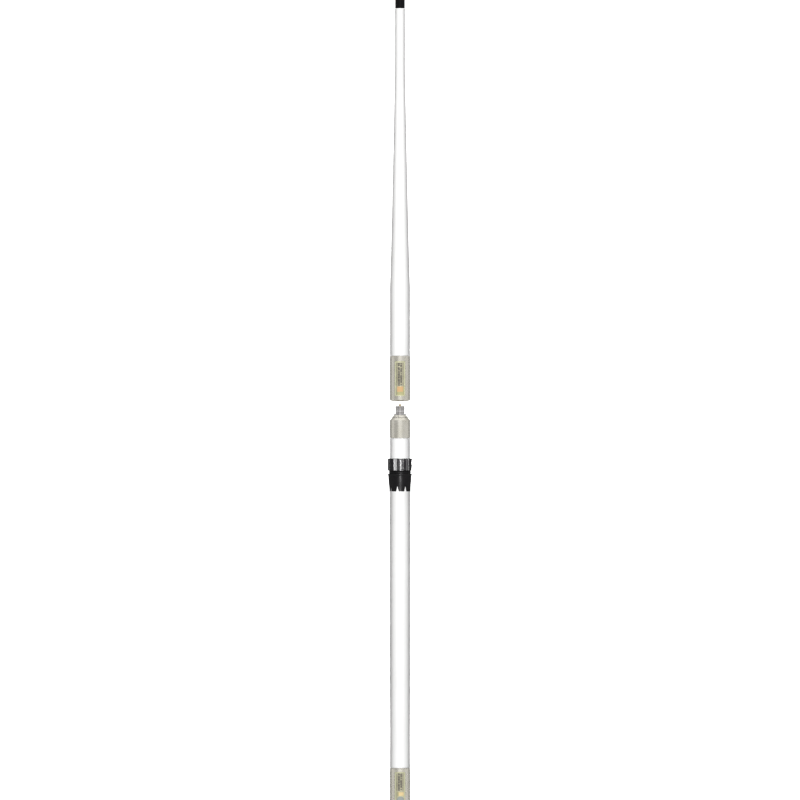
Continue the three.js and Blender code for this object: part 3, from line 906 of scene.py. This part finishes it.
def add_collar_body():
    """A tapering skirt cut into fingers by V notches, a band, and the neck with its coarse thread."""
    low, high = box_mm("collar_body")
    base = low.z
    bore_r, grip_r, outer_r, neck_r = TUBE_R + 0.35, 20.1, high.x, 21.1
    thread_height = 0.6
    root_r = neck_r - thread_height
    band_low, band_top, grip_low = base + 30.8, base + 33, base + 46
    skirt_heights = (NOTCH_TOP, *range(12, 30, 3), SKIRT_TOP)
    # Both ends of the chain lie at the notches' tops: outside at its start, in the bore at its end.
    chain = [
        *(point(skirt_r(height), base + height) for height in skirt_heights),
        point(outer_r, band_low),
        point(outer_r, band_top),
        point(root_r, band_top),
        *threaded_rows(root_r, band_top + 0.5, high.z - 0.3, COLLAR_PITCH),
        point(root_r, high.z),
        point(grip_r, high.z),
        point(grip_r, grip_low),
        point(bore_r, grip_low),
        point(bore_r, base + NOTCH_TOP),
    ]
    relief = screw(COLLAR_PITCH, thread_height)
    mesh = bmesh.new()
    rings = []
    for r, z, share in rounded(chain, False, 0.6):
        places = [polar(r + share * relief(angle, z), angle, z) for angle in collar_angles()]
        rings.append([mesh.verts.new(place) for place in places])
    for below, above in zip(rings, rings[1:]):
        bridge(mesh, below, above)
    add_collar_fingers(mesh, rings[0], rings[-1], base, bore_r)
    made = add_piece("collar_body_turned", mesh, "collar_body")
    mark_sharp(made, 40)
    return made


def add_collar_fingers(mesh, outer_ring, inner_ring, base, bore_r):
    """The fingers hang from the two rings at the notches' tops, and narrow downward as the notches widen."""
    levels = 6
    top_half, foot_half = NOTCH_TURN / 2 - NOTCH_TOP_HALF, NOTCH_TURN / 2 - NOTCH_FOOT_HALF
    for i in range(NOTCHES):
        start = i * (GAP_COLUMNS + FINGER_COLUMNS) + GAP_COLUMNS
        centre = (i + NOTCH_PHASE + 0.5) * NOTCH_TURN
        columns = [(start + k) % len(outer_ring) for k in range(FINGER_COLUMNS + 1)]
        outer, inner = [[outer_ring[k] for k in columns]], [[inner_ring[k] for k in columns]]
        for level in range(1, levels + 1):
            fall = level / levels
            height = NOTCH_TOP * (1 - fall)
            half = top_half + (foot_half - top_half) * fall
            angles = [centre + half * (2 * k / FINGER_COLUMNS - 1) for k in range(FINGER_COLUMNS + 1)]
            outer.append([mesh.verts.new(polar(skirt_r(height), a, base + height)) for a in angles])
            inner.append([mesh.verts.new(polar(bore_r, a, base + height)) for a in angles])
        fill_rows(mesh, outer)
        fill_rows(mesh, inner)
        fill_rows(mesh, [outer[-1], inner[-1]])
        for side in (0, -1):
            fill_rows(mesh, [[row[side] for row in outer], [row[side] for row in inner]])
        gap = slice(start - GAP_COLUMNS, start + 1)
        fill_rows(mesh, [outer_ring[gap], inner_ring[gap]])


# ---------------------------------------------------------------- studio
def add_camera():
    camera = new_object("camera", bpy.data.cameras.new("camera"))
    camera.data.lens = LENS_MM
    camera.data.sensor_width = SENSOR_MM
    camera.data.clip_end = VIEW_DEPTH
    camera.location = (0, -SHOWN_HEIGHT * LENS_MM / SENSOR_MM, VIEW_CENTRE_Z)
    camera.rotation_euler = (math.pi / 2, 0, 0)
    bpy.context.scene.camera = camera


def add_area_light(name, size, power, aim_z, azimuth, elevation, distance):
    """A rectangular light aimed at the axis, unseen by the camera. Azimuth 0 is in front and 90 toward +X."""
    area = bpy.data.lights.new(name, "AREA")
    area.shape = "RECTANGLE"
    area.size, area.size_y = size
    area.energy = power
    light = new_object(name, area)
    side, rise = math.radians(azimuth), math.radians(elevation)
    toward = Vector((math.sin(side) * math.cos(rise), -math.cos(side) * math.cos(rise), math.sin(rise)))
    light.location = Vector((0, 0, aim_z)) + toward * distance
    light.rotation_euler = toward.to_track_quat("Z", "Y").to_euler()
    light.visible_camera = False
    return light


def add_soft_box(name, azimuth, elevation, size, light_on_object):
    """A large soft light on the mast's middle. It lights, but isn't mirrored."""
    distance = 6
    power = light_on_object * math.pi * distance ** 2
    light = add_area_light(name, size, power, VIEW_CENTRE_Z, azimuth, elevation, distance)
    light.visible_glossy = False


def add_strip_light(name, azimuth, elevation, power, target):
    """A narrow light near the collar. It lights only the target, which mirrors it."""
    collar_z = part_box("collar_nut")[0].z
    light = add_area_light(name, (0.3, 1.2), power, collar_z, azimuth, elevation, 2)
    only = bpy.data.collections.new(f"{name}_target")
    only.objects.link(target)
    light.light_linking.receiver_collection = only


def add_strip_lights(collar_body, collar_nut):
    """The highlights on the black collar: azimuth and elevation in degrees, and power in watts."""
    add_strip_light("nut_left_strip", -44, 0, 10, collar_nut)
    add_strip_light("nut_front_strip", 9.5, 0, 40, collar_nut)
    add_strip_light("nut_right_strip", 73, 0, 3, collar_nut)
    add_strip_light("nut_back_strip", 165, 0, 30, collar_nut)
    add_strip_light("body_back_strip", 165, 0, 10, collar_body)
    add_strip_light("body_front_strip", 4, 0, 10, collar_body)
    add_strip_light("body_top_strip", 4, 60, 16, collar_body)


def add_sun():
    """Straight down, for the floor and whatever faces up."""
    sun = bpy.data.lights.new("overhead", "SUN")
    sun.energy = 2.3
    sun.angle = math.radians(12)
    light = new_object("overhead", sun)
    light.location.z = 4
    light.visible_glossy = False


def add_floor():
    """Plain pale paper just under the mast. It sends no light back onto the pieces."""
    size, gap = 60, 0.0005
    mesh = bmesh.new()
    bmesh.ops.create_grid(mesh, x_segments=8, y_segments=8, size=size)
    data = bpy.data.meshes.new("floor")
    mesh.to_mesh(data)
    mesh.free()
    floor = new_object("floor", data)
    floor.location.z = cad_box[0][2] - gap
    pale, shade = (0.9, 0.9, 0.9), (0.885, 0.885, 0.885)
    paper = Finish("floor_paper", pale, 0.85)
    paper.paint(paper.blend(paper.noise(3, 3), pale, shade))
    data.materials.append(paper.material)
    floor.visible_diffuse = False
    floor.visible_glossy = False


# The room that metal and gloss mirror, all round at mast height: degrees from the front toward +X, and
# brightness. It is brightest in front and straight behind.
MIRRORED = (
    (-180, 0.5),
    (-150, 0.28),
    (-116, 0.28),
    (-104, 0.47),
    (-78, 0.47),
    (-68, 0.355),
    (-26, 0.355),
    (-17, 0.56),
    (17, 0.56),
    (26, 0.43),
    (106, 0.455),
    (118, 0.28),
    (150, 0.28),
    (180, 0.5),
)


def set_world():
    """White to the camera and dim to matt surfaces. Glossy ones see the mirrored room, paler up and down."""
    level_share, upright_share = 0.95, 1.5
    dim, white = (0.02, 0.02, 0.02), (1, 1, 1)
    world = bpy.data.worlds.new("studio")
    bpy.context.scene.world = world
    world.use_nodes = True
    sky = Nodes(world.node_tree)
    place = sky.node("ShaderNodeTexCoord").outputs["Generated"]
    axis = sky.node("ShaderNodeSeparateXYZ", {"Vector": place}).outputs
    azimuth = sky.maths("ARCTAN2", axis["X"], sky.maths("MULTIPLY", axis["Y"], -1))
    turn = sky.spread(azimuth, 0, 1, -math.pi, math.pi)
    ramp = sky.node("ShaderNodeValToRGB", {"Fac": turn})
    stops = ramp.color_ramp.elements
    for degrees, _level in MIRRORED[1:-1]:
        stops.new((degrees + 180) / 360)
    for stop, (_degrees, level) in zip(stops, MIRRORED):
        stop.color = (level, level, level, 1)
    height = sky.spread(sky.maths("ABSOLUTE", axis["Z"]), level_share, upright_share, 0, 1)
    room = sky.node("ShaderNodeVectorMath", {0: ramp.outputs["Color"], "Scale": height}, operation="SCALE")
    seen_by = sky.node("ShaderNodeLightPath").outputs
    lit = sky.blend(seen_by["Is Glossy Ray"], dim, room.outputs[0])
    shown = sky.blend(seen_by["Is Camera Ray"], lit, white)
    sky.feed(sky.tree.nodes["Background"].inputs["Color"], shown)


def set_studio():
    add_camera()
    add_soft_box("key", 0, 5, (2.0, 2.0), 2.36)
    add_soft_box("back_left", -150, 14, (2.0, 3.0), 1.4)
    add_soft_box("back_right", 150, 14, (2.0, 3.0), 1.4)
    add_sun()
    add_floor()
    set_world()
    view = bpy.context.scene.view_settings
    view.view_transform = "Standard"
    view.look = "Very High Contrast"


set_studio()
add_turned_pieces()
add_threaded_pieces()
add_joint_ferrule()
add_o_ring()
add_stud()
add_coils()
add_contact_spring()
add_label("base_label", base_label_marks)
add_label("joint_label", joint_label_marks)
add_strip_lights(add_collar_body(), add_collar_nut())
